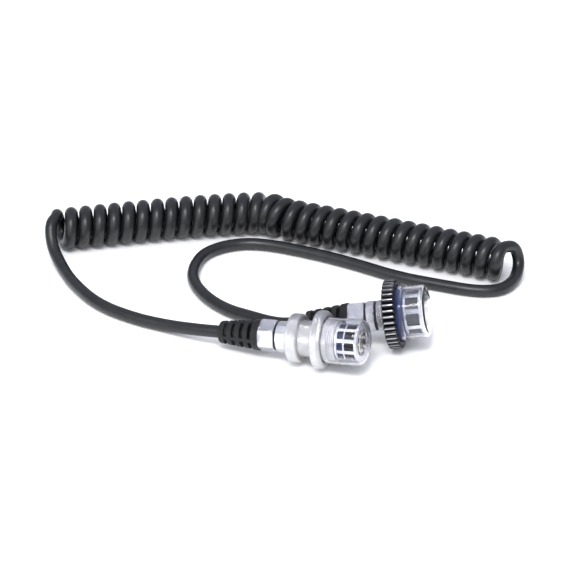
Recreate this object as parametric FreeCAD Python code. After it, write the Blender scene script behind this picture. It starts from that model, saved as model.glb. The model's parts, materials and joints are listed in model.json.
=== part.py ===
"""Coiled flash sync cord with a waterproof screw plug on each end, in millimetres.

The cord lies on a floor at z = 0. The coil runs along +X at the back, and both plugs lie
in front of it, on the -Y side, with their noses towards +X and a little up. The origin is
the floor point under the middle of the two plugs. Each plug is drawn along its own +X
axis, with x = 0 where the cord enters its boot, and is then laid in its place.
"""

import FreeCAD
import Part

import math
import os

V = FreeCAD.Vector
AXIS = V(1, 0, 0)

# Cord
CORD_D = 5.2
COIL_D = 18.2           # outside of the coil
LEAD_STRAIGHT = 9.0     # straight cord before each boot
ARC_SHARE = 0.45        # share of the shorter run that a bend takes
LIE = CORD_D / 2 + 0.1  # height of a cord's middle where it lies on the floor

# Where the cord lies
COIL_AXIS = [(-116.8, 89.9), (-72.8, 99.9), (-30.8, 105.9), (-2.8, 94.1), (37.2, 78.1), (73.2, 63.3)]
LEAD_A_ROUTE = [
    (-120.3, 84.3, 14.6), (-119.3, 78.8, 7.5), (-114.3, 68.8, LIE), (-107.3, 53.3, LIE),
    (-95.8, 35.8, LIE), (-79.8, 25.8, LIE), (-65.8, 17.9, LIE + 0.4),
]
LEAD_B_ROUTE = [
    (80.2, 67.6, 14.2), (84.7, 67.3, 7), (83.7, 60.3, LIE), (80.2, 52.8, LIE), (74.2, 47.9, LIE),
    (64.2, 47.5, LIE), (49.2, 52.8, LIE), (32.2, 62.3, LIE), (13.2, 74.7, LIE), (-5.8, 82.9, LIE),
    (-27.2, 89.3, LIE), (-40, 87.3, LIE), (-50.7, 79.5, LIE), (-56.5, 68.1, LIE),
    (-56.5, 55.7, LIE), (-50.4, 42, LIE), (-41.2, 31.1, LIE + 0.3), (-31.3, 24.3, LIE + 1.1),
    (-23.1, 18.3, LIE + 2),
]
EXIT_A = V(-43.2, 6.7, 6.85)
EXIT_B = V(-7.5, 13.2, 7.6)
HEADING_A = -19.8       # degrees about +Z
HEADING_B = -8.1

# Pieces that both plugs share
RUN_FIT = 0.05          # radial clearance of a turning or sliding fit
RUN_GAP = 0.1           # axial gap beside a piece that moves
BOOT_LENGTH = 18.3
BOOT_REAR_D = 9.2
BOOT_FRONT_D = 13.0
BOOT_REAR_ROUND = 1.2
BOOT_WALL = 1.0         # left under the slots
SLOT_LENGTH = 1.3
SLOT_ANGLE = 70.0
SLOT_TURN = 45.0
SLOT_ROWS = [2.7, 6.4, 10.1, 13.8]
SLOTS_PER_ROW = 4
NUT_LENGTH = 6.8
NUT_AF = 12.0
NUT_SIDES = 6
NUT_TURN_A = 15.0       # degrees that one flat faces above the horizontal
NUT_TURN_B = 55.0
NUT_CHAMFER = 0.5
NUT_BORE_D = 9.0
SEAL_LENGTH = 0.75
SEAL_D = NUT_AF - 0.8
STUB_IN_SHELL = 1.2
SHELL_SIDES = 12
SHELL_TURN = 25.0
SLEEVE_D = 10.4
SLEEVE_WALL = 1.6
SLEEVE_BORE_D = SLEEVE_D - 2 * SLEEVE_WALL
SHELL_STEP = 1.1         # shell outside the sleeve
SHELL_AF = SLEEVE_D + 2 * SHELL_STEP
SHELL_LEDGE = 0.4        # sleeve's end that shows inside the shell
SHELL_BORE_D = SLEEVE_BORE_D + 2 * SHELL_LEDGE
WASHER_LENGTH = 0.5
WASHER_WIDTH = 0.8
WASHER_D = SLEEVE_D + 2 * WASHER_WIDTH
CORE_D = 1.7
CORE_SPACE = 0.35        # between the cores and the sleeve's bore
CORE_CIRCLE_D = SLEEVE_BORE_D - CORE_D - 2 * CORE_SPACE
CONTACTS = 5
PIN_OUT = 0.9           # pins in front of their insulator
FACE_RECESS = 0.7       # insulator behind the nose's front edge
FACE_WALL = 1.0
WINDOW_BRIDGE = 0.4     # left beside a slot in a barrel
CAP_WALL = 1.0
CAP_SEAT_LENGTH = 2.0

# Plug A: thumb nut on a long sleeve, and a small nose
SHELL_A_LENGTH = 4.9
FLANGE_REAR_D = 20.2
FLANGE_REAR_LENGTH = 5.0
NECK_D = 14.8
NECK_LENGTH = 6.4
FLANGE_FRONT_D = 24.0
FLANGE_FRONT_LENGTH = 4.3
FLANGE_ROUND = 0.9
FLANGE_BEVEL = 1.2
CLIP_LENGTH = 0.8
CLIP_WIDTH = 1.1
CLIP_D = SLEEVE_D + 2 * CLIP_WIDTH
CLIP_GROOVE = 0.5
CLIP_SPACE = 0.5        # round the clip in the nut's counterbore
NUT_COUNTERBORE_D = CLIP_D + 2 * CLIP_SPACE
NUT_COUNTERBORE_DEPTH = 5.0
THREAD_A_LENGTH = 5.3
THREAD_A_WALL = 1.5
THREAD_A_D = NUT_COUNTERBORE_D + 2 * THREAD_A_WALL
NOSE_A_STEP = 0.8       # nose inside the thread's outline
NOSE_A_D = THREAD_A_D - 2 * NOSE_A_STEP
NOSE_A_LENGTH = 9.3
NOSE_A_FLANGE = 0.6
NOSE_A_WALL = 1.3
BARREL_A_BORE_D = NOSE_A_D - 2 * NOSE_A_WALL
FACE_A_BORE_D = NOSE_A_D - 5.0
RING_A_LENGTH = 3.2
RING_A_WIDTH = 1.2
RING_A_SEAT_D = BARREL_A_BORE_D - 2 * RING_A_WIDTH
WINDOWS_A = 10          # in each of two rows
WINDOW_TURN_A = 4.6
WINDOW_A_SIZE = (4.1, 3.2)
RING_WINDOW_SIZE = (2.6, 3.2)
PIN_A_D = 1.4
PIN_A_SPREAD = 0.5       # each pin outside its core's own line
PIN_A_CIRCLE_D = CORE_CIRCLE_D + 2 * PIN_A_SPREAD
CAP_A_SPACE = 0.4       # between the thread and the cap
CAP_A_BORE_D = THREAD_A_D + 2 * CAP_A_SPACE
CAP_A_D = CAP_A_BORE_D + 2 * CAP_WALL
CAP_A_AIR = 0.9         # between the nose and the cap's end
CAP_A_ROUND = 4.0

# Plug B: fluted coupling ring on a short sleeve, and a wide barrel
SHELL_B_LENGTH = 7.65
BAND_B_AT = 3.45
BAND_B_LENGTH = 1.1
BAND_B_DEPTH = 0.6
BAND_B_BORE_D = SHELL_AF - 2 * BAND_B_DEPTH
BARREL_B_D = 18.0
BARREL_B_LENGTH = 11.4
BARREL_B_WALL = 1.2
BARREL_B_BORE_D = BARREL_B_D - 2 * BARREL_B_WALL
FACE_B_BORE_D = BARREL_B_D - 6.0
GASKET_B_LENGTH = 1.9
GASKET_B_WIDTH = 2.6
FLANGE_B_D = BARREL_B_D + 2 * GASKET_B_WIDTH
FLANGE_B_LENGTH = 1.2
SPRING_B_D = 17.0
SPRING_B_LENGTH = 0.9
RECESS_SPACE = 0.4      # round the flange in the coupling ring
COUPLING_RECESS_D = FLANGE_B_D + 2 * RECESS_SPACE
COUPLING_RIM = 2.4
COUPLING_D = COUPLING_RECESS_D + 2 * COUPLING_RIM
COUPLING_LENGTH = 5.5
COUPLING_WEB = 2.0
COUPLING_BEVEL = 0.9
COUPLING_BACK_BEVEL = 0.5
FLUTES = 36
FLUTE_D = 1.9
FLUTE_DEPTH = 0.7
WINDOWS_B = 8
WINDOW_TURN_B = -8.7
WINDOW_B_SIZE = (5.3, 5.1)
WINDOW_B_AT = 4.9
PIN_B_D = 1.7
PIN_B_SPREAD = 0.7
PIN_B_CIRCLE_D = CORE_CIRCLE_D + 2 * PIN_B_SPREAD
CAP_B_SPACE = 1.0       # between the barrel and the cap
CAP_B_BORE_D = BARREL_B_D + 2 * CAP_B_SPACE
CAP_B_D = CAP_B_BORE_D + 2 * CAP_WALL
CAP_B_AIR = 0.5         # between the barrel and the cap's end
CAP_B_ROUND = 2.0
CAP_B_LIP_WIDTH = 1.0
CAP_B_LIP_D = CAP_B_D + 2 * CAP_B_LIP_WIDTH
CAP_B_LIP_LENGTH = 1.6

# Places along a plug's axis
NUT_X = BOOT_LENGTH
SEAL_X = NUT_X + NUT_LENGTH
SHELL_X = SEAL_X + SEAL_LENGTH
WASHER_A_X = SHELL_X + SHELL_A_LENGTH
WASHER_B_X = SHELL_X + SHELL_B_LENGTH
THUMB_X = WASHER_A_X + WASHER_LENGTH + RUN_GAP
FRONT_FLANGE_X = THUMB_X + FLANGE_REAR_LENGTH + NECK_LENGTH
THREAD_A_X = FRONT_FLANGE_X + FLANGE_FRONT_LENGTH
THUMB_END_X = THREAD_A_X + THREAD_A_LENGTH
NOSE_A_X = THUMB_END_X + RUN_GAP
RING_A_X = NOSE_A_X + NOSE_A_FLANGE
INSERT_A_X = RING_A_X + RING_A_LENGTH
NOSE_A_END_X = NOSE_A_X + NOSE_A_LENGTH
COUPLING_X = WASHER_B_X + WASHER_LENGTH + RUN_GAP
COUPLING_WEB_X = COUPLING_X + COUPLING_WEB
FLANGE_B_X = COUPLING_WEB_X + RUN_GAP + SPRING_B_LENGTH
BARREL_B_X = FLANGE_B_X + FLANGE_B_LENGTH
BARREL_B_END_X = BARREL_B_X + BARREL_B_LENGTH
CAP_A_X = THREAD_A_X + RUN_GAP
CAP_A_END_X = NOSE_A_END_X + CAP_A_AIR + CAP_WALL
CAP_B_X = BARREL_B_X + GASKET_B_LENGTH + RUN_GAP
CAP_B_END_X = BARREL_B_END_X + CAP_B_AIR + CAP_WALL
CLIP_A_X = THUMB_END_X - NUT_COUNTERBORE_DEPTH + RUN_GAP


def around(angle, radius, x=0.0):
    """A point round the axis; 0 degrees faces -Y and 90 degrees faces up."""
    a = math.radians(angle)
    return V(x, -radius * math.cos(a), radius * math.sin(a))


def rod(diameter, x, length, centre=V(0, 0, 0)):
    return Part.makeCylinder(diameter / 2, length, V(x, centre.y, centre.z), AXIS)


def ring(outer, inner, x, length):
    return rod(outer, x, length).cut(rod(inner, x, length))


def turned(outline):
    """A solid turned about the axis from (x, diameter) corners that start and end on it."""
    corners = [V(x, d / 2, 0) for x, d in outline]
    face = Part.Face(Part.makePolygon(corners + corners[:1]))
    return face.revolve(V(0, 0, 0), AXIS, 360)


def rim_edges(shape, x, diameter):
    """The round edges of one diameter about the axis at one x."""
    def fits(edge):
        curve = edge.Curve
        return (isinstance(curve, Part.Circle) and abs(curve.Center.x - x) < 1e-4
                and abs(curve.Radius - diameter / 2) < 1e-4
                and math.hypot(curve.Center.y, curve.Center.z) < 1e-4)
    return [edge for edge in shape.Edges if fits(edge)]


def rounded(shape, x, diameter, radius):
    return shape.makeFillet(radius, rim_edges(shape, x, diameter))


def bevelled(shape, x, diameter, size):
    return shape.makeChamfer(size, rim_edges(shape, x, diameter))


def spun(shape, count, first=0.0):
    """Copies of a cutter spread evenly round the axis."""
    copies = []
    for i in range(count):
        copy = shape.copy()
        copy.rotate(V(0, 0, 0), AXIS, first + 360.0 * i / count)
        copies.append(copy)
    return Part.makeCompound(copies)


def flatted(sides, across_flats, x, length, turn):
    """A bar with equal flats, one of them facing a given angle, and bevelled ends."""
    step = 360 / sides
    corner = across_flats / 2 / math.cos(math.radians(step / 2))
    points = [around(turn + step * (i + 0.5), corner, x) for i in range(sides)]
    bar = Part.Face(Part.makePolygon(points + points[:1])).extrude(AXIS * length)
    blank_d = 2 * corner - 0.1 * NUT_CHAMFER
    blank = rod(blank_d, x, length)
    blank = bevelled(blank, x, blank_d, NUT_CHAMFER)
    blank = bevelled(blank, x + length, blank_d, NUT_CHAMFER)
    return bar.common(blank)


# Back end, the same on both plugs

def strain_relief():
    slope = (BOOT_FRONT_D - BOOT_REAR_D) / BOOT_LENGTH
    boot = turned([(0, 0), (0, BOOT_REAR_D), (BOOT_LENGTH, BOOT_FRONT_D), (BOOT_LENGTH, 0)])
    boot = rounded(boot, 0, BOOT_REAR_D, BOOT_REAR_ROUND)
    boot = boot.cut(rod(CORD_D, 0, BOOT_LENGTH))
    for x in SLOT_ROWS:
        outer = BOOT_REAR_D + slope * x + 2
        wedge = Part.makeCylinder(outer / 2, SLOT_LENGTH, V(x, 0, 0), AXIS, SLOT_ANGLE)
        wedge.rotate(V(0, 0, 0), AXIS, -SLOT_ANGLE / 2)
        wedge = wedge.cut(rod(CORD_D + 2 * BOOT_WALL, x, SLOT_LENGTH))
        boot = boot.cut(spun(wedge, SLOTS_PER_ROW, SLOT_TURN))
    return boot


def cable_stub():
    return rod(CORD_D, 0, SHELL_X + STUB_IN_SHELL)


def cable_bush():
    return ring(NUT_BORE_D, CORD_D, NUT_X, NUT_LENGTH)


def gland_nut(turn):
    nut = flatted(NUT_SIDES, NUT_AF, NUT_X, NUT_LENGTH, turn)
    return nut.cut(rod(NUT_BORE_D, NUT_X, NUT_LENGTH))


def shell_seal():
    return ring(SEAL_D, CORD_D, SEAL_X, SEAL_LENGTH)


def back_shell(length):
    shell = flatted(SHELL_SIDES, SHELL_AF, SHELL_X, length, SHELL_TURN)
    return shell.cut(rod(SHELL_BORE_D, SHELL_X, length))


def thrust_washer(x):
    return ring(WASHER_D, SLEEVE_D, x, WASHER_LENGTH)


def cores(end_x):
    """One insulated core to each contact, from the stub's end to the insulator."""
    x = SHELL_X + STUB_IN_SHELL
    spots = [around(90 + 360 * i / CONTACTS, CORE_CIRCLE_D / 2) for i in range(CONTACTS)]
    return [rod(CORE_D, x, end_x - x, spot) for spot in spots]


def pins(diameter, circle, x, face_x):
    spots = [around(90 + 360 * i / CONTACTS, circle / 2) for i in range(CONTACTS)]
    return [rod(diameter, x, face_x + PIN_OUT - x, spot) for spot in spots]


def insulator(body_d, nose_d, x, step_x, face_x, holes):
    """Black moulding in a nose, stepped to fit its front wall, with a hole for each pin."""
    body = rod(body_d, x, step_x - x).fuse(rod(nose_d, step_x, face_x - step_x))
    for hole in holes:
        body = body.cut(hole)
    return body.removeSplitter()


def windowed(barrel, diameter, wall, x, size, count, turn):
    """A barrel with a row of slots through its wall."""
    length, width = size
    slot = Part.makeBox(length, width, 2 * wall, V(x, -width / 2, diameter / 2 - 1.5 * wall))
    return barrel.cut(spun(slot, count, turn))


# Plug A

def plug_body_a():
    body = rod(SLEEVE_D, WASHER_A_X, NOSE_A_X - WASHER_A_X)
    body = body.fuse(rod(NOSE_A_D, NOSE_A_X, NOSE_A_FLANGE))
    body = body.fuse(rod(RING_A_SEAT_D, RING_A_X, RING_A_LENGTH))
    body = body.cut(ring(SLEEVE_D, SLEEVE_D - 2 * CLIP_GROOVE, CLIP_A_X, CLIP_LENGTH))
    return body.cut(rod(SLEEVE_BORE_D, WASHER_A_X, INSERT_A_X - WASHER_A_X))


def snap_ring_a():
    return ring(CLIP_D, SLEEVE_D - 2 * CLIP_GROOVE, CLIP_A_X, CLIP_LENGTH)


def thumb_nut():
    seat_d = CAP_A_BORE_D - 2 * RUN_FIT
    neck_x = THUMB_X + FLANGE_REAR_LENGTH
    nut = turned([
        (THUMB_X, 0), (THUMB_X, FLANGE_REAR_D), (neck_x, FLANGE_REAR_D), (neck_x, NECK_D),
        (FRONT_FLANGE_X, NECK_D), (FRONT_FLANGE_X, FLANGE_FRONT_D),
        (THREAD_A_X, FLANGE_FRONT_D), (THREAD_A_X, seat_d),
        (CAP_A_X + CAP_SEAT_LENGTH, seat_d), (CAP_A_X + CAP_SEAT_LENGTH, THREAD_A_D),
        (THUMB_END_X, THREAD_A_D), (THUMB_END_X, 0),
    ])
    nut = rounded(nut, THUMB_X, FLANGE_REAR_D, FLANGE_ROUND)
    nut = rounded(nut, neck_x, FLANGE_REAR_D, FLANGE_ROUND)
    nut = rounded(nut, FRONT_FLANGE_X, FLANGE_FRONT_D, FLANGE_ROUND)
    nut = bevelled(nut, THREAD_A_X, FLANGE_FRONT_D, FLANGE_BEVEL)
    nut = nut.cut(rod(SLEEVE_D + 2 * RUN_FIT, THUMB_X, THUMB_END_X - THUMB_X))
    counterbore_x = THUMB_END_X - NUT_COUNTERBORE_DEPTH
    return nut.cut(rod(NUT_COUNTERBORE_D, counterbore_x, NUT_COUNTERBORE_DEPTH))


def seal_ring_a():
    return ring(BARREL_A_BORE_D, RING_A_SEAT_D, RING_A_X, RING_A_LENGTH)


def key_barrel_a():
    """The nose's steel barrel, with one row of slots over the ring and one over the insert."""
    length = NOSE_A_END_X - RING_A_X
    barrel = rod(NOSE_A_D, RING_A_X, length)
    barrel = bevelled(barrel, NOSE_A_END_X, NOSE_A_D, 0.5)
    barrel = barrel.cut(rod(BARREL_A_BORE_D, RING_A_X, length - FACE_WALL))
    barrel = barrel.cut(rod(FACE_A_BORE_D, RING_A_X, length))
    ring_slot_x = RING_A_X + WINDOW_BRIDGE
    slot_x = INSERT_A_X + WINDOW_BRIDGE
    barrel = windowed(barrel, NOSE_A_D, NOSE_A_WALL, ring_slot_x, RING_WINDOW_SIZE, WINDOWS_A,
                      WINDOW_TURN_A)
    return windowed(barrel, NOSE_A_D, NOSE_A_WALL, slot_x, WINDOW_A_SIZE, WINDOWS_A,
                    WINDOW_TURN_A)


def contact_insert_a():
    face_x = NOSE_A_END_X - FACE_RECESS
    holes = pins(PIN_A_D, PIN_A_CIRCLE_D, INSERT_A_X, face_x)
    step_x = NOSE_A_END_X - FACE_WALL
    return insulator(BARREL_A_BORE_D, FACE_A_BORE_D, INSERT_A_X, step_x, face_x, holes)


def capped(outer_d, bore_d, x, end_x, edge_round):
    """A round cap's outside and its hollow, both with a rounded far edge."""
    outside = rounded(rod(outer_d, x, end_x - x), end_x, outer_d, edge_round)
    floor_x = end_x - CAP_WALL
    hollow = rounded(rod(bore_d, x, floor_x - x), floor_x, bore_d, edge_round - CAP_WALL)
    return outside, hollow


def cap_a():
    outside, hollow = capped(CAP_A_D, CAP_A_BORE_D, CAP_A_X, CAP_A_END_X, CAP_A_ROUND)
    return outside.cut(hollow)


# Plug B

def back_shell_b():
    groove = ring(2 * SHELL_AF, BAND_B_BORE_D, SHELL_X + BAND_B_AT, BAND_B_LENGTH)
    return back_shell(SHELL_B_LENGTH).cut(groove)


def shell_band_b():
    return ring(SHELL_AF, BAND_B_BORE_D, SHELL_X + BAND_B_AT, BAND_B_LENGTH)


def plug_body_b():
    body = rod(SLEEVE_D, WASHER_B_X, FLANGE_B_X - WASHER_B_X)
    body = body.fuse(rod(FLANGE_B_D, FLANGE_B_X, FLANGE_B_LENGTH))
    return body.cut(rod(SLEEVE_BORE_D, WASHER_B_X, BARREL_B_X - WASHER_B_X))


def spring_washer_b():
    return ring(SPRING_B_D, SLEEVE_D, FLANGE_B_X - SPRING_B_LENGTH, SPRING_B_LENGTH)


def coupling_ring():
    end_x = COUPLING_X + COUPLING_LENGTH
    body = rod(COUPLING_D, COUPLING_X, COUPLING_LENGTH)
    body = bevelled(body, end_x, COUPLING_D, COUPLING_BEVEL)
    body = bevelled(body, COUPLING_X, COUPLING_D, COUPLING_BACK_BEVEL)
    offset = (COUPLING_D + FLUTE_D) / 2 - FLUTE_DEPTH
    flute = rod(FLUTE_D, COUPLING_X, COUPLING_LENGTH, V(0, 0, offset))
    body = body.cut(spun(flute, FLUTES, 180.0 / FLUTES))
    body = body.cut(rod(SLEEVE_D + 2 * RUN_FIT, COUPLING_X, COUPLING_LENGTH))
    return body.cut(rod(COUPLING_RECESS_D, COUPLING_WEB_X, end_x - COUPLING_WEB_X))


def face_gasket_b():
    return ring(FLANGE_B_D, BARREL_B_D, BARREL_B_X, GASKET_B_LENGTH)


def key_barrel_b():
    seat_d = CAP_B_BORE_D - 2 * RUN_FIT
    barrel = rod(BARREL_B_D, BARREL_B_X, BARREL_B_LENGTH)
    barrel = bevelled(barrel, BARREL_B_END_X, BARREL_B_D, 0.6)
    barrel = barrel.fuse(rod(seat_d, CAP_B_X, CAP_SEAT_LENGTH))
    barrel = barrel.cut(rod(BARREL_B_BORE_D, BARREL_B_X, BARREL_B_LENGTH - FACE_WALL))
    barrel = barrel.cut(rod(FACE_B_BORE_D, BARREL_B_X, BARREL_B_LENGTH))
    slot_x = BARREL_B_X + WINDOW_B_AT
    return windowed(barrel, BARREL_B_D, BARREL_B_WALL, slot_x, WINDOW_B_SIZE, WINDOWS_B,
                    WINDOW_TURN_B)


def contact_insert_b():
    face_x = BARREL_B_END_X - FACE_RECESS
    holes = pins(PIN_B_D, PIN_B_CIRCLE_D, BARREL_B_X, face_x)
    step_x = BARREL_B_END_X - FACE_WALL
    return insulator(BARREL_B_BORE_D, FACE_B_BORE_D, BARREL_B_X, step_x, face_x, holes)


def cap_b():
    outside, hollow = capped(CAP_B_D, CAP_B_BORE_D, CAP_B_X, CAP_B_END_X, CAP_B_ROUND)
    return outside.fuse(rod(CAP_B_LIP_D, CAP_B_X, CAP_B_LIP_LENGTH)).cut(hollow)


# Laying the plugs and the cord

def rest_tilt(height, rim_x, rim_r):
    """The nose-up angle at which a rim touches the floor, with the exit at a height."""
    reach = math.hypot(rim_x, rim_r)
    return math.degrees(math.atan2(rim_r, rim_x) - math.asin(height / reach))


def seat_a():
    """Plug A rests on the rounded back edge of its front flange."""
    rim_x = FRONT_FLANGE_X + FLANGE_ROUND
    rim_r = FLANGE_FRONT_D / 2 - FLANGE_ROUND
    tilt = rest_tilt(EXIT_A.z - FLANGE_ROUND, rim_x, rim_r)
    return FreeCAD.Placement(EXIT_A, FreeCAD.Rotation(HEADING_A, -tilt, 0))


def seat_b():
    """Plug B rests on the back edge of its coupling ring."""
    tilt = rest_tilt(EXIT_B.z, COUPLING_X + COUPLING_BACK_BEVEL, COUPLING_D / 2)
    return FreeCAD.Placement(EXIT_B, FreeCAD.Rotation(HEADING_B, -tilt, 0))


def coil_points():
    return [V(x, y, COIL_D / 2) for x, y in COIL_AXIS]


def coil_top(end):
    """Where the last turn leaves the top of the coil."""
    return end + V(0, 0, (COIL_D - CORD_D) / 2)


def rounded_path(points, label):
    """Straight runs joined by tangent arcs, each as large as its two runs allow."""
    edges = []
    start = points[0]
    for before, corner, after in zip(points, points[1:], points[2:]):
        back = (before - corner).normalize()
        ahead = (after - corner).normalize()
        setback = ARC_SHARE * min((before - corner).Length, (after - corner).Length)
        half_turn = (math.pi - back.getAngle(ahead)) / 2
        radius = setback / math.tan(half_turn)
        middle = corner + (back + ahead).normalize() * (radius / math.cos(half_turn) - radius)
        first = corner + back * setback
        last = corner + ahead * setback
        edges.append(Part.LineSegment(start, first).toShape())
        edges.append(Part.Arc(first, middle, last).toShape())
        start = last
        print(f"{label} bend: radius {radius:.1f} mm, turn {math.degrees(2 * half_turn):.0f}")
    edges.append(Part.LineSegment(start, points[-1]).toShape())
    return Part.Wire(edges)


def tube(points, diameter, label):
    path = rounded_path(points, label)
    heading = (points[1] - points[0]).normalize()
    section = Part.Wire(Part.makeCircle(diameter / 2, points[0], heading))
    solid = path.makePipeShell([section], True, False)
    expected = math.pi * diameter ** 2 / 4 * path.Length
    print(f"{label}: length {path.Length:.1f} mm, volume {solid.Volume / expected:.4f} of section x length")
    return solid


def lead(route, coil_end, seat, label):
    plug_end = [seat.multVec(AXIS * -LEAD_STRAIGHT), seat.multVec(V(0, 0, 0))]
    points = [coil_top(coil_end)] + [V(*point) for point in route] + plug_end
    return tube(points, CORD_D, label)


def shared_pieces(letter, nut_turn, shell, washer_x, cores_end_x):
    pieces = {
        "strain_relief": strain_relief(),
        "cable_stub": cable_stub(),
        "cable_bush": cable_bush(),
        "gland_nut": gland_nut(nut_turn),
        "shell_seal": shell_seal(),
        "back_shell": shell,
        "thrust_washer": thrust_washer(washer_x),
    }
    named = {f"{name}_{letter}": shape for name, shape in pieces.items()}
    for i, core in enumerate(cores(cores_end_x), 1):
        named[f"core_{letter}_{i}"] = core
    return named


def numbered_pins(letter, solids):
    return {f"pin_{letter}_{i}": solid for i, solid in enumerate(solids, 1)}


def plug_a():
    pieces = shared_pieces("a", NUT_TURN_A, back_shell(SHELL_A_LENGTH), WASHER_A_X, INSERT_A_X)
    pieces["plug_body_a"] = plug_body_a()
    pieces["snap_ring_a"] = snap_ring_a()
    pieces["thumb_nut"] = thumb_nut()
    pieces["seal_ring_a"] = seal_ring_a()
    pieces["key_barrel_a"] = key_barrel_a()
    pieces["contact_insert_a"] = contact_insert_a()
    pieces["cap_a"] = cap_a()
    face_x = NOSE_A_END_X - FACE_RECESS
    pieces.update(numbered_pins("a", pins(PIN_A_D, PIN_A_CIRCLE_D, INSERT_A_X, face_x)))
    return pieces


def plug_b():
    pieces = shared_pieces("b", NUT_TURN_B, back_shell_b(), WASHER_B_X, BARREL_B_X)
    pieces["shell_band_b"] = shell_band_b()
    pieces["plug_body_b"] = plug_body_b()
    pieces["spring_washer_b"] = spring_washer_b()
    pieces["coupling_ring"] = coupling_ring()
    pieces["face_gasket_b"] = face_gasket_b()
    pieces["key_barrel_b"] = key_barrel_b()
    pieces["contact_insert_b"] = contact_insert_b()
    pieces["cap_b"] = cap_b()
    face_x = BARREL_B_END_X - FACE_RECESS
    pieces.update(numbered_pins("b", pins(PIN_B_D, PIN_B_CIRCLE_D, BARREL_B_X, face_x)))
    return pieces


def cord():
    axis = coil_points()
    coil = tube(axis, COIL_D, "coil")
    return {
        "cord_coil": coil,
        "cord_lead_a": lead(LEAD_A_ROUTE, axis[0], seat_a(), "lead a").cut(coil),
        "cord_lead_b": lead(LEAD_B_ROUTE, axis[-1], seat_b(), "lead b").cut(coil),
    }


def laid(pieces, seat):
    for shape in pieces.values():
        shape.Placement = seat.multiply(shape.Placement)
    return pieces


def main():
    os.makedirs("parts", exist_ok=True)
    nodes = laid(plug_a(), seat_a())
    nodes.update(laid(plug_b(), seat_b()))
    nodes.update(cord())
    for name, shape in nodes.items():
        shape.exportStep(f"parts/{name}.step")
    print(len(nodes), "nodes")


main()
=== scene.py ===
"""The looks of a coiled flash sync cord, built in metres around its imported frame.

The cord is one spline from plug to plug. Each plug's pieces are drawn in millimetres along
the plug's own +X axis, with x = 0 where the cord enters its boot, and sit under a matrix
that lays them where the frame has that plug.
"""

import json
import math

import bmesh
import bpy
from mathutils import Matrix, Vector


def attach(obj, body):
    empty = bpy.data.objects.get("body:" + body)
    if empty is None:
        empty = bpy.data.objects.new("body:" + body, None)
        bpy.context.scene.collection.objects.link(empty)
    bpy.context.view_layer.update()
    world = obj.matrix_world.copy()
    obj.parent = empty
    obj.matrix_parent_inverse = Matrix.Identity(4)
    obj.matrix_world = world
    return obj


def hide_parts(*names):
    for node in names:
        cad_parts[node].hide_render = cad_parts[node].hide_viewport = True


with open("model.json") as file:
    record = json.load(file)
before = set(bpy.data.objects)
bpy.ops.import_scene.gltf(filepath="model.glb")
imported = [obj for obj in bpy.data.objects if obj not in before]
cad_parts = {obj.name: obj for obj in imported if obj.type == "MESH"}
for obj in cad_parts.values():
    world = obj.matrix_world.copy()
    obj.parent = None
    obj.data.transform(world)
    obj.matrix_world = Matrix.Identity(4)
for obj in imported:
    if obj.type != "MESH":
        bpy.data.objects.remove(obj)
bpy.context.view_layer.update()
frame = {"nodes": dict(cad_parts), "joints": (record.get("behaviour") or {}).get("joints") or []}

MM = 0.001
ROOT = "cord_and_plugs"

# The cord, in metres
CORD_D = 0.0052
COIL_STRAND = 1.1  # how much fuller the strand is where it is coiled
COIL_D = 0.0182
COIL_TURNS = 32
POINTS_PER_TURN = 16
LIE = CORD_D / 2 + 0.0001  # the height of the cord's middle where it lies on the floor
EXIT_A = Vector((-0.0432, 0.0067, 0.00685))
EXIT_B = Vector((-0.0075, 0.0132, 0.0076))
LEAD_STRAIGHT = 0.009
COIL_AXIS = [
    (-0.1168, 0.0899), (-0.0728, 0.0999), (-0.0308, 0.1059), (-0.0224, 0.1044), (-0.0178, 0.1001),
    (-0.0028, 0.0943), (0.0372, 0.0786), (0.077, 0.0624),
]
LEAD_A_ROUTE = [
    (-0.1194, 0.0846, 0.0148), (-0.1185, 0.0788, 0.0075), (-0.1138, 0.0688, LIE),
    (-0.1073, 0.0533, LIE), (-0.0958, 0.0358, LIE), (-0.0798, 0.0244, LIE),
    (-0.0658, 0.0179, LIE + 0.0004),
]
LEAD_B_ROUTE = [
    (0.0822, 0.0667, 0.0142), (0.0846, 0.0662, 0.007), (0.083, 0.0598, LIE),
    (0.0796, 0.0528, LIE), (0.0742, 0.0479, LIE), (0.0642, 0.0475, LIE), (0.0492, 0.0528, LIE),
    (0.0322, 0.0592, LIE), (0.0132, 0.0713, LIE), (-0.0058, 0.0812, LIE), (-0.0272, 0.0895, LIE),
    (-0.0408, 0.0885, LIE), (-0.0522, 0.081, LIE), (-0.0565, 0.0681, LIE),
    (-0.0565, 0.0557, LIE), (-0.0504, 0.042, LIE), (-0.0412, 0.0311, LIE + 0.0003),
    (-0.0313, 0.0243, LIE + 0.0011), (-0.0231, 0.0183, LIE + 0.002),
]

# Both plugs, in millimetres: X is a place along the plug's axis and R is a radius
CORD_R = 2.6
BOOT_END_X = 18.3
BOOT_REAR_R = 4.6
BOOT_FRONT_R = 6.5
BOOT_BORE_R = CORD_R + 0.02
SLOT_ROWS = [3.35, 7.05, 10.75, 14.45]
SLOT_HALF = 0.65
SLOT_HALF_ANGLE = 35.0
SLOT_SOFT = 0.3
SLOT_SOFT_ANGLE = 6
SLOT_FLOOR_R = 3.7
BOOT_STEP = 0.16  # the boot's mesh, fine enough for the edges of its slots
NUT_END_X = 25.1
NUT_FLATS = 12.0
NUT_BORE_R = 4.5
SEAL_END_X = 25.85
SEAL_R = 5.6
SHELL_SIDES = 12
SHELL_FLATS = 12.6
SHELL_BORE_R = 4.0
SHELL_TURN = 25
SLEEVE_BORE_R = 5.25  # of the thumb nut and the coupling ring, on their sleeves
FACET_EDGE = 0.12
PIN_COUNT = 5
PIN_PROUD = 0.9  # how far a pin stands out of its face
PIN_TIP = 0.6
INSERT_GAP = 0.02
RIM = 1.0  # the step behind each nose's front lip
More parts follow.
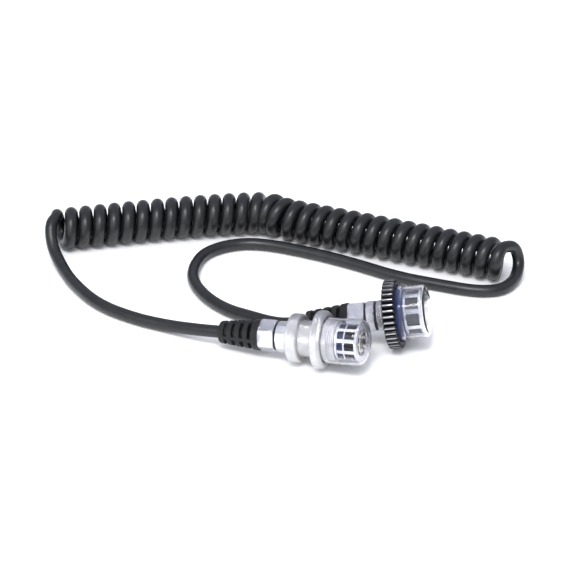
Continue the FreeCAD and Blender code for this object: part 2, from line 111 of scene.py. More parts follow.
CAP_WALL = 1.0
WALL_CUT = (1.9, 1.0)  # how far a window's cutter reaches inside and outside its barrel

# Plug A
NUT_A_TURN = 15
SHELL_A_END_X = 30.75
THUMB_X = 31.35
THUMB_REAR_R = 10.1
NECK_X = 36.35
NECK_R = 7.4
FLANGE_A_X = 42.75
FLANGE_A_R = 12.0
FLANGE_LIP_R = 10.8
LAND_A_X = 47.05
FLANGE_LIP_X = LAND_A_X - 1.2
LAND_A_R = 8.65
LAND_A_END_X = 49.15
CAP_A_X = 47.15
CAP_A_R = 9.7
THUMB_END_X = 52.35
THUMB_HOLLOW_X = 47.35
THUMB_HOLLOW_R = 6.8
THREAD_X = 49.4
THREAD_END_X = THUMB_END_X - 0.4
THREAD_R = 8.3
THREAD_ROOT_R = 8.0
THREAD_PITCH = 0.9
THREAD_DEPTH = 0.3
RING_A_X = 53.05
INSERT_A_X = 56.25
FACE_A_X = 61.05
FACE_A_RIM_R = 4.3
DISH_A = 0.2
NOSE_A_END_X = 61.75
NOSE_A_R = 7.5
NOSE_A_BORE_R = 6.2
NOSE_A_LIP_R = 5.0
CAP_A_END_X = 63.65
WINDOWS_A = 10
WINDOW_A_WIDTH = 3.2
WINDOW_A_ROWS = [(RING_A_X + 0.4, RING_A_X + 3.0), (INSERT_A_X + 0.4, INSERT_A_X + 4.5)]
WINDOW_TURN_A = 85.4
PIN_A_R = 0.7
PIN_A_CIRCLE_D = 5.8

# Plug B
NUT_B_TURN = 55
BAND_B_X = 29.3
BAND_B_END_X = BAND_B_X + 1.1
BAND_B_R = 6.05
GROOVE_B_R = 5.7
GROOVE_CUT_R = 9
SHELL_B_END_X = 33.5
COUPLING_X = 34.1
COUPLING_WEB_END_X = COUPLING_X + 2.0
COUPLING_END_X = 39.6
COUPLING_R = 14.4
COUPLING_HOLLOW_R = 12.0
FLUTES = 36
FLUTE_DEPTH = 1.1
FLUTE_RIM = 1.6  # how deep into the rim the flutes reach
FLUTE_FADE = 0.5
CREST_HIGHLIGHT = (0.11, 0.02)  # below the crest: where the painted highlight starts and where it is full
BARREL_B_X = 38.3
BARREL_B_R = 9.0
BARREL_B_BORE_R = 7.8
BARREL_B_LIP_R = 6.0
BARREL_B_END_X = 49.7
GASKET_B_END_X = 40.2
GASKET_B_R = 11.6
GASKET_SLEEVE_R = 9.95
GASKET_BORE_R = 9.05
CAP_B_X = 40.3
GASKET_SLEEVE_END_X = CAP_B_X + 2.0
CAP_B_R = 11.0
CAP_B_LIP_R = 12.0
CAP_B_LIP_END_X = CAP_B_X + 1.6
FACE_B_X = 49.0
FACE_B_RIM_R = 5.0
DISH_B = 0.25
CAP_B_END_X = 51.2
WINDOWS_B = 8
WINDOW_B_WIDTH = 5.1
WINDOW_B_ROW = (BARREL_B_X + 4.9, BARREL_B_X + 10.2)
WINDOW_TURN_B = 98.7
PIN_B_R = 0.85
PIN_B_CIRCLE_D = 6.2


# Meshes

def joint_axis(name):
    return Vector(next(j["axis"] for j in frame["joints"] if j["name"] == name)).normalized()


def plug_matrix(exit_point, joint):
    """From a plug's own millimetres to the frame: X along the plug, Z as near up as it goes."""
    x = joint_axis(joint)
    y = Vector((0, 0, 1)).cross(x).normalized()
    z = x.cross(y)
    matrix = Matrix((x, y, z)).transposed().to_4x4()
    matrix.translation = exit_point
    return matrix @ Matrix.Scale(MM, 4)


PLUG_A = plug_matrix(EXIT_A, "thumb_nut_spin")
PLUG_B = plug_matrix(EXIT_B, "coupling_ring_spin")


def around(angle, radius, x=0.0):
    """A point round a plug's axis; 0 degrees faces the front and 90 degrees faces up."""
    a = math.radians(angle)
    return Vector((x, -radius * math.cos(a), radius * math.sin(a)))


def outline(corners, small=0.12, steps=4):
    """A closed outline with rounded corners: (x, r) is rounded by small, (x, r, size) by size."""
    points = []
    count = len(corners)
    for i, corner in enumerate(corners):
        here = Vector(corner[:2])
        size = corner[2] if len(corner) > 2 else small
        back = Vector(corners[i - 1][:2]) - here
        ahead = Vector(corners[(i + 1) % count][:2]) - here
        setback = min(size, 0.45 * back.length, 0.45 * ahead.length)
        if setback < 1e-4:
            points.append(here)
            continue
        first = here + back.normalized() * setback
        last = here + ahead.normalized() * setback
        for k in range(steps + 1):
            t = k / steps
            points.append(first * (1 - t) ** 2 + here * 2 * t * (1 - t) + last * t ** 2)
    return points


def dense(points, step):
    """The same closed outline with its long edges divided."""
    fine = []
    for here, ahead in zip(points, points[1:] + points[:1]):
        parts = max(1, math.ceil((ahead - here).length / step))
        fine.extend(here.lerp(ahead, k / parts) for k in range(parts))
    return fine


def turned(points, steps=120, warp=None):
    """A closed mesh turned about X; warp(x, r, angle in degrees) may change the radius."""
    mesh = bmesh.new()
    rings = []
    for i in range(steps):
        angle = 360 * i / steps
        radii = [warp(x, r, angle) if warp else r for x, r in points]
        rings.append([mesh.verts.new(around(angle, r, x)) for (x, _), r in zip(points, radii)])
    for here, ahead in zip(rings, rings[1:] + rings[:1]):
        for j in range(len(points)):
            k = (j + 1) % len(points)
            mesh.faces.new((here[j], here[k], ahead[k], ahead[j]))
    bmesh.ops.remove_doubles(mesh, verts=mesh.verts, dist=1e-5)
    bmesh.ops.recalc_face_normals(mesh, faces=mesh.faces)
    return mesh


def rod(radius, x, end_x, centre=Vector((0, 0, 0)), tip=0.15, steps=48):
    """A round bar with softened ends."""
    corners = [(x, 0, 0), (x, radius, tip), (end_x, radius, tip), (end_x, 0, 0)]
    mesh = turned(outline(corners), steps)
    bmesh.ops.translate(mesh, verts=mesh.verts, vec=centre)
    return mesh


def tube(outer, inner, x, end_x, small=0.12, steps=120):
    """A round tube with softened edges."""
    return turned(outline([(x, inner), (x, outer), (end_x, outer), (end_x, inner)], small), steps)


def prism(sides, across_flats, x, end_x, turn):
    """A plain bar with flats, one of them facing the given angle."""
    step = 360 / sides
    corner = across_flats / 2 / math.cos(math.radians(step / 2))
    mesh = bmesh.new()
    near = [mesh.verts.new(around(turn + step * (i + 0.5), corner, x)) for i in range(sides)]
    far = [mesh.verts.new(around(turn + step * (i + 0.5), corner, end_x)) for i in range(sides)]
    mesh.faces.new(near)
    mesh.faces.new(list(reversed(far)))
    for i in range(sides):
        j = (i + 1) % sides
        mesh.faces.new((near[j], near[i], far[i], far[j]))
    bmesh.ops.recalc_face_normals(mesh, faces=mesh.faces)
    return mesh


def block(x, end_x, width, low, high, angle):
    """A box that stands on the axis and points out at an angle, to cut a slot with."""
    mesh = bmesh.new()
    bmesh.ops.create_cube(mesh, size=1.0)
    bmesh.ops.scale(mesh, verts=mesh.verts, vec=(end_x - x, width, high - low))
    bmesh.ops.translate(mesh, verts=mesh.verts, vec=((x + end_x) / 2, 0, (low + high) / 2))
    swing = Matrix.Rotation(math.radians(90 - angle), 3, "X")
    bmesh.ops.rotate(mesh, verts=mesh.verts, matrix=swing)
    return mesh


def joined(meshes):
    """Several meshes as one."""
    whole = bmesh.new()
    for mesh in meshes:
        part = bpy.data.meshes.new("part")
        mesh.to_mesh(part)
        mesh.free()
        whole.from_mesh(part)
        bpy.data.meshes.remove(part)
    return whole


def made(name, mesh):
    """An object in the scene from a mesh."""
    data = bpy.data.meshes.new(name)
    mesh.to_mesh(data)
    mesh.free()
    thing = bpy.data.objects.new(name, data)
    bpy.context.scene.collection.objects.link(thing)
    return thing


def combined(thing, other, operation):
    """thing with another mesh cut from it or kept in common."""
    tool = made("tool", other)
    modifier = thing.modifiers.new("combine", "BOOLEAN")
    modifier.object = tool
    modifier.operation = operation
    modifier.solver = "EXACT"
    evaluated = thing.evaluated_get(bpy.context.evaluated_depsgraph_get())
    thing.data = bpy.data.meshes.new_from_object(evaluated)
    thing.modifiers.clear()
    bpy.data.objects.remove(tool)
    return thing


def softened(thing, width, angle=25):
    """Small bevels on the sharp edges, for the highlights that real edges catch."""
    bevel = thing.modifiers.new("edges", "BEVEL")
    bevel.width = width
    bevel.segments = 2
    bevel.limit_method = "ANGLE"
    bevel.angle_limit = math.radians(angle)
    bevel.harden_normals = True
    return thing


def fitted(thing, matrix, body, finish, slot, *nodes):
    """Lays a piece on its plug, gives it its finish and lets it stand for its frame nodes."""
    for face in thing.data.polygons:
        face.use_smooth = True
    thing.data.set_sharp_from_angle(angle=math.radians(28))
    thing.data.materials.append(finish)
    thing.matrix_world = matrix
    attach(thing, body)
    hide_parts(*nodes)
    return thing


# Finishes

def finish_nodes(name):
    """A new material with its node tree's nodes and links and its shader."""
    material = bpy.data.materials.new(name)
    material.use_nodes = True
    nodes, links = material.node_tree.nodes, material.node_tree.links
    return material, nodes, links, nodes["Principled BSDF"]


def noise(nodes, links, scale, detail=4.0, stretch=(1, 1, 1)):
    """Noise in the piece's own coordinates, stretched along its axes."""
    place = nodes.new("ShaderNodeTexCoord")
    mapping = nodes.new("ShaderNodeMapping")
    mapping.inputs["Scale"].default_value = stretch
    texture = nodes.new("ShaderNodeTexNoise")
    texture.inputs["Scale"].default_value = scale
    texture.inputs["Detail"].default_value = detail
    links.new(place.outputs["Object"], mapping.inputs["Vector"])
    links.new(mapping.outputs["Vector"], texture.inputs["Vector"])
    return texture.outputs["Fac"]


NOISE_LOW = 0.3  # most of a noise's values lie between these two
NOISE_HIGH = 0.7


def varied(nodes, links, factor, low, high, socket):
    """A value that drifts between two limits with the noise."""
    spread = nodes.new("ShaderNodeMapRange")
    spread.inputs["From Min"].default_value = NOISE_LOW
    spread.inputs["From Max"].default_value = NOISE_HIGH
    spread.inputs["To Min"].default_value = low
    spread.inputs["To Max"].default_value = high
    links.new(factor, spread.inputs["Value"])
    links.new(spread.outputs["Result"], socket)


def tinted(nodes, links, factor, dark, light, socket):
    """A colour that drifts between two with the noise."""
    ramp = nodes.new("ShaderNodeValToRGB")
    ramp.color_ramp.elements[0].position = NOISE_LOW
    ramp.color_ramp.elements[0].color = (*dark, 1)
    ramp.color_ramp.elements[1].position = NOISE_HIGH
    ramp.color_ramp.elements[1].color = (*light, 1)
    links.new(factor, ramp.inputs["Fac"])
    links.new(ramp.outputs["Color"], socket)


def bumped(nodes, links, height, strength, distance, socket):
    """A small relief from the noise."""
    bump = nodes.new("ShaderNodeBump")
    bump.inputs["Strength"].default_value = strength
    bump.inputs["Distance"].default_value = distance
    links.new(height, bump.inputs["Height"])
    links.new(bump.outputs["Normal"], socket)


def grained(name, dark, light, rough, grain, unit, metallic=0.0, stretch=(1, 1, 1), depth=0.02,
            shine=0.5):
    """A finish with a drifting colour and roughness and a fine grain; unit is one mm."""
    material, nodes, links, shader = finish_nodes(name)
    shader.inputs["Metallic"].default_value = metallic
    shader.inputs["Specular IOR Level"].default_value = shine
    drift = noise(nodes, links, 0.25 / unit, 3.0)
    fine = noise(nodes, links, grain / unit, 5.0, stretch)
    tinted(nodes, links, drift, dark, light, shader.inputs["Base Color"])
    varied(nodes, links, fine, rough[0], rough[1], shader.inputs["Roughness"])
    bumped(nodes, links, fine, 0.35, depth * unit, shader.inputs["Normal"])
    return material


def clear_plastic():
    """Clear moulded plastic, a little clouded here and there."""
    material, nodes, links, shader = finish_nodes("clear_plastic")
    shader.inputs["Transmission Weight"].default_value = 1.0
    shader.inputs["IOR"].default_value = 1.32
    cloud = noise(nodes, links, 0.35, 2.0)
    tinted(nodes, links, cloud, (0.95, 0.965, 0.99), (0.98, 0.985, 1.0),
           shader.inputs["Base Color"])
    varied(nodes, links, cloud, 0.0, 0.03, shader.inputs["Roughness"])
    return material


def ring_black_with_painted_highlight():
    """Black anodised metal with a painted highlight: lighter and metallic along the crests of the
    coupling ring's ridges.
    """
    material, nodes, links, shader = finish_nodes("ring_black")
    place = nodes.new("ShaderNodeTexCoord")
    across = nodes.new("ShaderNodeMapping")
    across.inputs["Scale"].default_value = (0, 1, 1)
    radius = nodes.new("ShaderNodeVectorMath")
    radius.operation = "LENGTH"
    # The lighter, metallic colour near the crest radius is a painted highlight along each ridge.
    crest = nodes.new("ShaderNodeMapRange")
    crest.inputs["From Min"].default_value = COUPLING_R - CREST_HIGHLIGHT[0]
    crest.inputs["From Max"].default_value = COUPLING_R - CREST_HIGHLIGHT[1]
    links.new(place.outputs["Object"], across.inputs["Vector"])
    links.new(across.outputs["Vector"], radius.inputs[0])
    links.new(radius.outputs["Value"], crest.inputs["Value"])
    ramp = nodes.new("ShaderNodeValToRGB")
    ramp.color_ramp.elements[0].color = (0.003, 0.003, 0.0035, 1)
    ramp.color_ramp.elements[1].color = (0.42, 0.43, 0.45, 1)
    links.new(crest.outputs["Result"], ramp.inputs["Fac"])
    links.new(ramp.outputs["Color"], shader.inputs["Base Color"])
    links.new(crest.outputs["Result"], shader.inputs["Metallic"])
    shader.inputs["Specular IOR Level"].default_value = 0.35
    varied(nodes, links, noise(nodes, links, 3.0), 0.1, 0.2, shader.inputs["Roughness"])
    return material


AROUND = (14, 0.35, 0.35)  # grain that runs round a turned piece
JACKET_COLOURS = ((0.004, 0.005, 0.0055), (0.009, 0.0105, 0.011))
BOOT_COLOURS = ((0.004, 0.0045, 0.005), (0.009, 0.0095, 0.01))
SEAL_COLOURS = ((0.004, 0.004, 0.005), (0.009, 0.009, 0.01))
BLUE_COLOURS = ((0.002, 0.011, 0.07), (0.004, 0.022, 0.13))
STEEL_COLOURS = ((0.68, 0.69, 0.74), (0.82, 0.825, 0.84))
ALUMINIUM_COLOURS = ((0.64, 0.64, 0.645), (0.73, 0.73, 0.73))
WASHER_COLOURS = ((0.45, 0.46, 0.48), (0.6, 0.61, 0.62))
BLACK_COLOURS = ((0.003, 0.003, 0.0035), (0.008, 0.008, 0.009))
GREY_COLOURS = ((0.05, 0.053, 0.062), (0.1, 0.105, 0.12))
GOLD_COLOURS = ((0.72, 0.65, 0.5), (0.9, 0.84, 0.7))
CORE_COLOURS = ((0.35, 0.02, 0.015), (0.5, 0.04, 0.03))

# On the plugs' own pieces, whose coordinates are millimetres
boot_rubber = grained("boot_rubber", *BOOT_COLOURS, (0.4, 0.55), 5.0, 1, depth=0.05, shine=0.35)
seal_rubber = grained("seal_rubber", *SEAL_COLOURS, (0.45, 0.6), 6.0, 1)
blue_rubber = grained("blue_rubber", *BLUE_COLOURS, (0.25, 0.38), 4.0, 1)
steel = grained("polished_steel", *STEEL_COLOURS, (0.08, 0.18), 2.0, 1, 1.0, AROUND, 0.004)
aluminium = grained("satin_aluminium", *ALUMINIUM_COLOURS, (0.24, 0.36), 2.5, 1, 1.0, AROUND, 0.012)
ring_black = ring_black_with_painted_highlight()
insulator = grained("black_insulator", *BLACK_COLOURS, (0.5, 0.65), 5.0, 1, shine=0.25)
insulator_grey = grained("grey_insulator", *GREY_COLOURS, (0.3, 0.42), 5.0, 1)
gold = grained("contact_gold", *GOLD_COLOURS, (0.12, 0.22), 4.0, 1, 1.0)
clear = clear_plastic()

# On the cord and the frame's own nodes, whose coordinates are metres
jacket = grained("jacket_rubber", *JACKET_COLOURS, (0.3, 0.42), 3.0, MM)
seal_rubber_m = grained("seal_rubber_m", *SEAL_COLOURS, (0.45, 0.6), 6.0, MM)
washer_steel_m = grained("washer_steel_m", *WASHER_COLOURS, (0.25, 0.38), 2.0, MM, 1.0)
steel_m = grained("polished_steel_m", *STEEL_COLOURS, (0.07, 0.16), 2.0, MM, 1.0)
core_m = grained("core_insulation_m", *CORE_COLOURS, (0.3, 0.42), 4.0, MM)


# The cord

def spline_curve(name, points, radius=0.0, fuller=range(0)):
    """An open smooth curve with these control points, some of them with a fuller section."""
    curve = bpy.data.curves.new(name, "CURVE")
    curve.dimensions = "3D"
    spline = curve.splines.new("NURBS")
    spline.points.add(len(points) - 1)
    for place, point in zip(spline.points, points):
        place.co = (*point, 1)
    for i in fuller:
        spline.points[i].radius = COIL_STRAND
    spline.order_u = 3
    spline.use_endpoint_u = True
    spline.resolution_u = 6
    curve.bevel_depth = radius
    curve.bevel_resolution = 7
    curve.use_fill_caps = True
    thing = bpy.data.objects.new(name, curve)
    bpy.context.scene.collection.objects.link(thing)
    return thing


def spline_line(points):
    """Points along the smooth curve of some control points."""
    thing = spline_curve("line", points)
    thing.data.splines[0].resolution_u = 24
    bpy.context.view_layer.update()
    evaluated = thing.evaluated_get(bpy.context.evaluated_depsgraph_get())
    mesh = bpy.data.meshes.new_from_object(evaluated)
    line = [vertex.co.copy() for vertex in mesh.vertices]
    bpy.data.objects.remove(thing)
    return line


def helix():
    """The coil's turns about its axis: from the top, over the back, and round to the top again."""
    height = (COIL_D + CORD_D * (COIL_STRAND - 1)) / 2
    line = spline_line([(x, y, height) for x, y in COIL_AXIS])
    reach = [0.0]
    for here, ahead in zip(line, line[1:]):
        reach.append(reach[-1] + (ahead - here).length)
    count = COIL_TURNS * POINTS_PER_TURN
    # A smooth curve of order 3 runs inside its control points by this share of the radius.
    radius = (COIL_D - CORD_D) / 2 / math.cos(math.pi / POINTS_PER_TURN)
    points = []
    k = 0
    for i in range(count + 1):
        distance = reach[-1] * i / count
        while k < len(reach) - 2 and reach[k + 1] < distance:
            k += 1
        share = (distance - reach[k]) / (reach[k + 1] - reach[k])
        centre = line[k].lerp(line[k + 1], share)
        back = Vector((0, 0, 1)).cross(line[k + 1] - line[k]).normalized()
        turn = 2 * math.pi * i / POINTS_PER_TURN
        arm = math.cos(turn) * Vector((0, 0, 1)) + math.sin(turn) * back
        points.append(centre + radius * arm)
    return points


def build_cord():
    """One curve from plug A's boot to plug B's: a lead, the coil and the other lead."""
    before_a = EXIT_A - LEAD_STRAIGHT * joint_axis("thumb_nut_spin")
    before_b = EXIT_B - LEAD_STRAIGHT * joint_axis("coupling_ring_spin")
    route_a = [EXIT_A, before_a] + [Vector(p) for p in reversed(LEAD_A_ROUTE)]
    route_b = [Vector(p) for p in LEAD_B_ROUTE] + [before_b, EXIT_B]
    turns = helix()
    # The fuller strand leaves out two points at each end, where the coil runs into a lead.
    fuller = range(len(route_a) + 2, len(route_a) + len(turns) - 2)
    cord = spline_curve("cord", route_a + turns + route_b, CORD_D / 2, fuller)
    cord.data.materials.append(jacket)
    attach(cord, ROOT)
    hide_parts("cord_lead_a", "cord_coil", "cord_lead_b")


# Pieces that both plugs have

def edge_step(value, edge, soft):
    """1 inside an edge, 0 outside it, and smooth over a soft width."""
    t = min(1.0, max(0.0, (edge + soft / 2 - value) / soft))
    return t * t * (3 - 2 * t)


def boot_warp(x, r, angle):
    """Cuts four rounded slots into each row of the boot's outside."""
    if r < SLOT_FLOOR_R:
        return r
    off = abs((angle - 45) % 90)
    off = min(off, 90 - off)
    for row in SLOT_ROWS:
        depth = (edge_step(abs(x - row), SLOT_HALF, SLOT_SOFT)
                 * edge_step(off, SLOT_HALF_ANGLE, SLOT_SOFT_ANGLE))
        if depth > 0:
            return r - (r - SLOT_FLOOR_R) * depth
    return r


def strain_relief(letter, matrix):
    """The tapered rubber boot, its bore just clear of the cord."""
    corners = [
        (0, BOOT_BORE_R, 0.3), (0, BOOT_REAR_R, 1.3),
        (BOOT_END_X, BOOT_FRONT_R, 0.35), (BOOT_END_X, BOOT_BORE_R, 0.1),
    ]
    mesh = turned(dense(outline(corners), BOOT_STEP), 180, boot_warp)
    boot = made(f"boot_{letter}", mesh)
    fitted(boot, matrix, ROOT, boot_rubber, "boot_rubber", f"strain_relief_{letter}")


def faceted(name, sides, flats, x, end_x, turn, bore):
    """A nut or shell: flats, ends chamfered round, and a bore."""
    corner = flats / 2 / math.cos(math.pi / sides)
    chamfer, drop, over = 0.45, 0.55, 0.02
    blank = turned([(x, 0), (x, corner - drop), (x + chamfer, corner + over),
                    (end_x - chamfer, corner + over), (end_x, corner - drop), (end_x, 0)], 96)
    blank = made(name, blank)
    combined(blank, prism(sides, flats, x - 1, end_x + 1, turn), "INTERSECT")
    combined(blank, rod(bore, x - 1, end_x + 1), "DIFFERENCE")
    return softened(blank, FACET_EDGE, 20)


def gland_nut(letter, matrix, turn):
    nut = faceted(f"gland_nut_{letter}_piece", 6, NUT_FLATS, BOOT_END_X, NUT_END_X, turn,
                  NUT_BORE_R)
    fitted(nut, matrix, ROOT, steel, "polished_steel", f"gland_nut_{letter}")


def rear_seal(letter, matrix):
    seal = made(f"seal_{letter}", tube(SEAL_R, CORD_R, NUT_END_X, SEAL_END_X))
    fitted(seal, matrix, ROOT, seal_rubber, "seal_rubber", f"shell_seal_{letter}")


def back_shell(letter, end_x):
    return faceted(f"back_shell_{letter}_piece", SHELL_SIDES, SHELL_FLATS, SEAL_END_X, end_x,
                   SHELL_TURN, SHELL_BORE_R)


def contacts(letter, matrix, radius, circle, x, face_x):
    """Round-tipped pins on a circle, the first of them on top."""
    for i in range(PIN_COUNT):
        spot = around(90 + 360 / PIN_COUNT * i, circle / 2)
        bar = rod(radius, x, face_x + PIN_PROUD, spot, PIN_TIP, 32)
        pin = made(f"contact_{letter}_{i + 1}", bar)
        fitted(pin, matrix, ROOT, gold, "contact_gold", f"pin_{letter}_{i + 1}")


def insulator_piece(letter, matrix, finish, x, radius, rim_x, lip_r, face_x, face_r, dish):
    """The insulator in a nose: it steps in behind the lip, and its face is dished in a rim."""
    radius, lip_r, dish_x = radius - INSERT_GAP, lip_r - INSERT_GAP, face_x - dish
    insert = made(f"insert_{letter}", turned(outline([
        (x, 0, 0), (x, radius), (rim_x, radius), (rim_x, lip_r), (face_x, lip_r, 0.2),
        (face_x, face_r, 0.1), (dish_x, face_r - 0.2, 0.1), (dish_x, 0, 0)]), 96))
    fitted(insert, matrix, ROOT, finish, "black_insulator", f"contact_insert_{letter}")


# Plug A

def shell_a():
    shell = back_shell("a", SHELL_A_END_X)
    fitted(shell, PLUG_A, ROOT, steel, "polished_steel", "back_shell_a")


def thread_warp(x, r, angle):
    """A fine helical thread on the nut's front end."""
    if r < THREAD_ROOT_R or x < THREAD_X or x > THREAD_END_X:
        return r
    phase = (x / THREAD_PITCH - angle / 360) % 1.0
    return r - THREAD_DEPTH * abs(2 * phase - 1)


def thumb_nut():
    """Two flanges, the cap's land, the thread and, inside, a bore that widens at the front."""
    corners = [
        (THUMB_X, SLEEVE_BORE_R), (THUMB_X, THUMB_REAR_R, 1.0), (NECK_X, THUMB_REAR_R, 1.2),
        (NECK_X, NECK_R, 0.25), (FLANGE_A_X, NECK_R, 0.3), (FLANGE_A_X, FLANGE_A_R, 1.0),
        (FLANGE_LIP_X, FLANGE_A_R, 0.35), (LAND_A_X, FLANGE_LIP_R, 0.3), (LAND_A_X, LAND_A_R),
        (LAND_A_END_X, LAND_A_R, 0.2), (LAND_A_END_X, THREAD_R, 0.1), (THUMB_END_X, THREAD_R, 0.4),
        (THUMB_END_X, THUMB_HOLLOW_R), (THUMB_HOLLOW_X, THUMB_HOLLOW_R),
        (THUMB_HOLLOW_X, SLEEVE_BORE_R),
    ]
    nut = made("thumb_nut_piece", turned(dense(outline(corners), 0.2), 180, thread_warp))
    fitted(nut, PLUG_A, "thumb_nut", aluminium, "satin_aluminium", "thumb_nut")


def slotted(barrel, x, end_x, width, radius, count, turn):
    """Cuts a row of slots, the first of them facing an angle, through a barrel's wall."""
    inside, outside = WALL_CUT
    slots = [block(x, end_x, width, radius - inside, radius + outside, turn - 360 * i / count)
             for i in range(count)]
    return combined(barrel, joined(slots), "DIFFERENCE")


def nose_a():
    """The steel nose: a barrel with two rows of slots, the blue ring and the black insulator."""
    rim_x = NOSE_A_END_X - RIM
    corners = [
        (RING_A_X, NOSE_A_BORE_R), (RING_A_X, NOSE_A_R), (NOSE_A_END_X, NOSE_A_R, 0.6),
        (NOSE_A_END_X, NOSE_A_LIP_R, 0.15), (rim_x, NOSE_A_LIP_R), (rim_x, NOSE_A_BORE_R),
    ]
    barrel = made("barrel_a", turned(outline(corners), 120))
    for x, end_x in WINDOW_A_ROWS:
        slotted(barrel, x, end_x, WINDOW_A_WIDTH, NOSE_A_R, WINDOWS_A, WINDOW_TURN_A)
    softened(barrel, 0.08)
    fitted(barrel, PLUG_A, ROOT, steel, "polished_steel", "key_barrel_a")
    ring = made("seal_ring_a_piece", tube(NOSE_A_BORE_R, NOSE_A_LIP_R, RING_A_X, INSERT_A_X, 0.4))
    fitted(ring, PLUG_A, ROOT, blue_rubber, "blue_rubber", "seal_ring_a")
    insulator_piece("a", PLUG_A, insulator, INSERT_A_X, NOSE_A_BORE_R, rim_x, NOSE_A_LIP_R,
                    FACE_A_X, FACE_A_RIM_R, DISH_A)


def cap_a():
    """The clear cap over the nose, its mouth on the thumb nut's land."""
    face_x = CAP_A_END_X - CAP_WALL
    bore = CAP_A_R - CAP_WALL
    corners = [
        (CAP_A_X, bore), (CAP_A_X, CAP_A_R, 0.3), (CAP_A_END_X, CAP_A_R, 4.0), (CAP_A_END_X, 0, 0),
        (face_x, 0, 0), (face_x, bore, 3.0),
    ]
    cap = made("clear_cap_a", turned(outline(corners, steps=12), 160))
    fitted(cap, PLUG_A, "cap_a", clear, "clear_plastic", "cap_a")


# Plug B

def shell_b():
    """The longer back shell, with a rubber band in a groove round it."""
    shell = back_shell("b", SHELL_B_END_X)
    groove = turned([(BAND_B_X, GROOVE_B_R), (BAND_B_X, GROOVE_CUT_R),
                     (BAND_B_END_X, GROOVE_CUT_R), (BAND_B_END_X, GROOVE_B_R)], 96)
    shell.modifiers.clear()
    combined(shell, groove, "DIFFERENCE")
    softened(shell, FACET_EDGE, 20)
    fitted(shell, PLUG_B, ROOT, steel, "polished_steel", "back_shell_b")
    band = made("band_b", tube(BAND_B_R, GROOVE_B_R, BAND_B_X, BAND_B_END_X, 0.2))
    fitted(band, PLUG_B, ROOT, seal_rubber, "seal_rubber", "shell_band_b")


def flute_warp(x, r, angle):
    """Rounded ridges with narrow valleys round the rim of the coupling ring."""
    if r < COUPLING_R - FLUTE_RIM:
        return r
    across = abs((angle * FLUTES / 360) % 1.0 - 0.5) * 2
    depth = FLUTE_DEPTH * across ** 2
    return r - depth * min(1.0, (r - COUPLING_R + FLUTE_RIM) / FLUTE_FADE)


def coupling_ring():
    """A fluted ring, hollow in front of its web."""
    corners = [
        (COUPLING_X, SLEEVE_BORE_R), (COUPLING_X, COUPLING_R, 0.7),
        (COUPLING_END_X, COUPLING_R, 1.1), (COUPLING_END_X, COUPLING_HOLLOW_R, 0.2),
        (COUPLING_WEB_END_X, COUPLING_HOLLOW_R), (COUPLING_WEB_END_X, SLEEVE_BORE_R),
    ]
    ring = made("coupling_ring_piece", turned(outline(corners, steps=5), FLUTES * 16, flute_warp))
    fitted(ring, PLUG_B, "coupling_ring", ring_black, "black_ring", "coupling_ring")


def barrel_b():
    """The steel barrel with its row of windows, the grey insulator and the blue gasket."""
    rim_x = BARREL_B_END_X - RIM
    corners = [
        (BARREL_B_X, BARREL_B_BORE_R), (BARREL_B_X, BARREL_B_R), (BARREL_B_END_X, BARREL_B_R, 0.7),
        (BARREL_B_END_X, BARREL_B_LIP_R, 0.15), (rim_x, BARREL_B_LIP_R), (rim_x, BARREL_B_BORE_R),
    ]
    barrel = made("barrel_b", turned(outline(corners), 120))
    slotted(barrel, *WINDOW_B_ROW, WINDOW_B_WIDTH, BARREL_B_R, WINDOWS_B, WINDOW_TURN_B)
    softened(barrel, 0.1)
    fitted(barrel, PLUG_B, ROOT, steel, "polished_steel", "key_barrel_b")
    insulator_piece("b", PLUG_B, insulator_grey, BARREL_B_X, BARREL_B_BORE_R, rim_x,
                    BARREL_B_LIP_R, FACE_B_X, FACE_B_RIM_R, DISH_B)
    gasket = made("gasket_b", turned(outline([
        (BARREL_B_X, GASKET_BORE_R), (BARREL_B_X, GASKET_B_R, 0.35),
        (GASKET_B_END_X, GASKET_B_R, 0.35), (GASKET_B_END_X, GASKET_SLEEVE_R),
        (GASKET_SLEEVE_END_X, GASKET_SLEEVE_R, 0.2), (GASKET_SLEEVE_END_X, GASKET_BORE_R)]), 120))
    fitted(gasket, PLUG_B, ROOT, blue_rubber, "blue_rubber", "face_gasket_b")


def cap_b():
    """The clear cap over the barrel, with a lip round its mouth."""
    face_x = CAP_B_END_X - CAP_WALL
    bore = CAP_B_R - CAP_WALL
    corners = [
        (CAP_B_X, bore), (CAP_B_X, CAP_B_LIP_R, 0.35), (CAP_B_LIP_END_X, CAP_B_LIP_R, 0.5),
        (CAP_B_LIP_END_X, CAP_B_R, 0.3), (CAP_B_END_X, CAP_B_R, 2.0), (CAP_B_END_X, 0, 0),
        (face_x, 0, 0), (face_x, bore, 1.0),
    ]
    cap = made("clear_cap_b", turned(outline(corners, steps=12), 160))
    fitted(cap, PLUG_B, "cap_b", clear, "clear_plastic", "cap_b")


def plug_pieces():
    for letter, matrix, turn in (("a", PLUG_A, NUT_A_TURN), ("b", PLUG_B, NUT_B_TURN)):
        strain_relief(letter, matrix)
        gland_nut(letter, matrix, turn)
        rear_seal(letter, matrix)
    shell_a()
    thumb_nut()
    nose_a()
    contacts("a", PLUG_A, PIN_A_R, PIN_A_CIRCLE_D, INSERT_A_X, FACE_A_X)
    cap_a()
    shell_b()
    coupling_ring()
    barrel_b()
    contacts("b", PLUG_B, PIN_B_R, PIN_B_CIRCLE_D, BARREL_B_X, FACE_B_X)
    cap_b()


def frame_finishes():
    """Finishes for the frame's own nodes that stay in view or inside."""
    chosen = {
        "cable_stub": jacket, "cable_bush": seal_rubber_m, "thrust_washer": washer_steel_m,
        "plug_body": steel_m, "snap_ring": washer_steel_m, "spring_washer": washer_steel_m,
        "core": core_m,
    }
    for name, node in frame["nodes"].items():
        for start, finish in chosen.items():
            if name.startswith(start):
                node.data.materials.clear()
                node.data.materials.append(finish)


# Studio

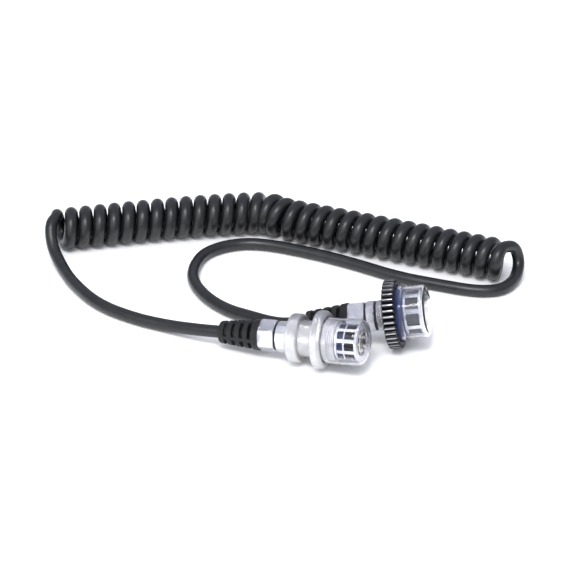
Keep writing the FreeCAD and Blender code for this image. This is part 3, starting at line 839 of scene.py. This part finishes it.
CAMERA_TARGET = Vector((-0.0155, 0.0548, 0.0))
CAMERA_DISTANCE = 1.2
CAMERA_ELEVATION = math.radians(30)
CAMERA_LENS = 174.4


def build_camera():
    back = Vector((0, -math.cos(CAMERA_ELEVATION), math.sin(CAMERA_ELEVATION)))
    camera = bpy.data.objects.new("camera", bpy.data.cameras.new("camera"))
    bpy.context.scene.collection.objects.link(camera)
    camera.location = CAMERA_TARGET + CAMERA_DISTANCE * back
    camera.rotation_mode = "QUATERNION"
    camera.rotation_quaternion = (-back).to_track_quat("-Z", "Y")
    camera.data.sensor_width = 36
    camera.data.lens = CAMERA_LENS
    camera.data.clip_start = 0.05
    bpy.context.scene.camera = camera


def softbox(name, place, aim, size, brightness, glossy=True):
    """A rectangular light; one that isn't glossy lights things without showing in their shine."""
    light = bpy.data.lights.new(name, "AREA")
    light.shape = "RECTANGLE"
    light.size, light.size_y = size
    light.energy = brightness * math.pi * size[0] * size[1]
    thing = bpy.data.objects.new(name, light)
    thing.location = place
    thing.rotation_mode = "QUATERNION"
    thing.rotation_quaternion = (Vector(aim) - Vector(place)).to_track_quat("-Z", "Y")
    thing.visible_glossy = glossy
    bpy.context.scene.collection.objects.link(thing)


def build_world():
    """A grey room, darker below than above."""
    world = bpy.data.worlds.new("studio")
    world.use_nodes = True
    nodes, links = world.node_tree.nodes, world.node_tree.links
    place = nodes.new("ShaderNodeTexCoord")
    parts = nodes.new("ShaderNodeSeparateXYZ")
    links.new(place.outputs["Generated"], parts.inputs["Vector"])
    height = nodes.new("ShaderNodeMapRange")
    height.inputs["From Min"].default_value = -0.3
    height.inputs["From Max"].default_value = 0.9
    links.new(parts.outputs["Z"], height.inputs["Value"])
    ramp = nodes.new("ShaderNodeValToRGB")
    ramp.color_ramp.elements[0].color = (0.4, 0.4, 0.43, 1)
    ramp.color_ramp.elements[1].color = (0.66, 0.68, 0.8, 1)
    links.new(height.outputs["Result"], ramp.inputs["Fac"])
    links.new(ramp.outputs["Color"], nodes["Background"].inputs["Color"])
    bpy.context.scene.world = world


def build_studio():
    build_world()
    bpy.context.scene.view_settings.view_transform = "Standard"
    middle = (0, 0.04, 0)
    softbox("overhead", (0, 0.04, 1.4), middle, (2.6, 2.6), 0.8, glossy=False)
    softbox("front", (-0.62, -1.35, 1.1), middle, (3.2, 1.8), 1.1)
    softbox("key", (-0.15, -0.5, 0.95), middle, (0.45, 0.28), 17.0)
    floor_mesh = bmesh.new()
    bmesh.ops.create_grid(floor_mesh, x_segments=1, y_segments=1, size=3.0)
    floor = made("floor", floor_mesh)
    material, nodes, links, shader = finish_nodes("floor")
    shader.inputs["Roughness"].default_value = 0.9
    tinted(nodes, links, noise(nodes, links, 3.0), (0.93, 0.93, 0.93), (0.95, 0.95, 0.95),
           shader.inputs["Base Color"])
    floor.data.materials.append(material)


build_camera()
build_studio()
build_cord()
plug_pieces()
frame_finishes()
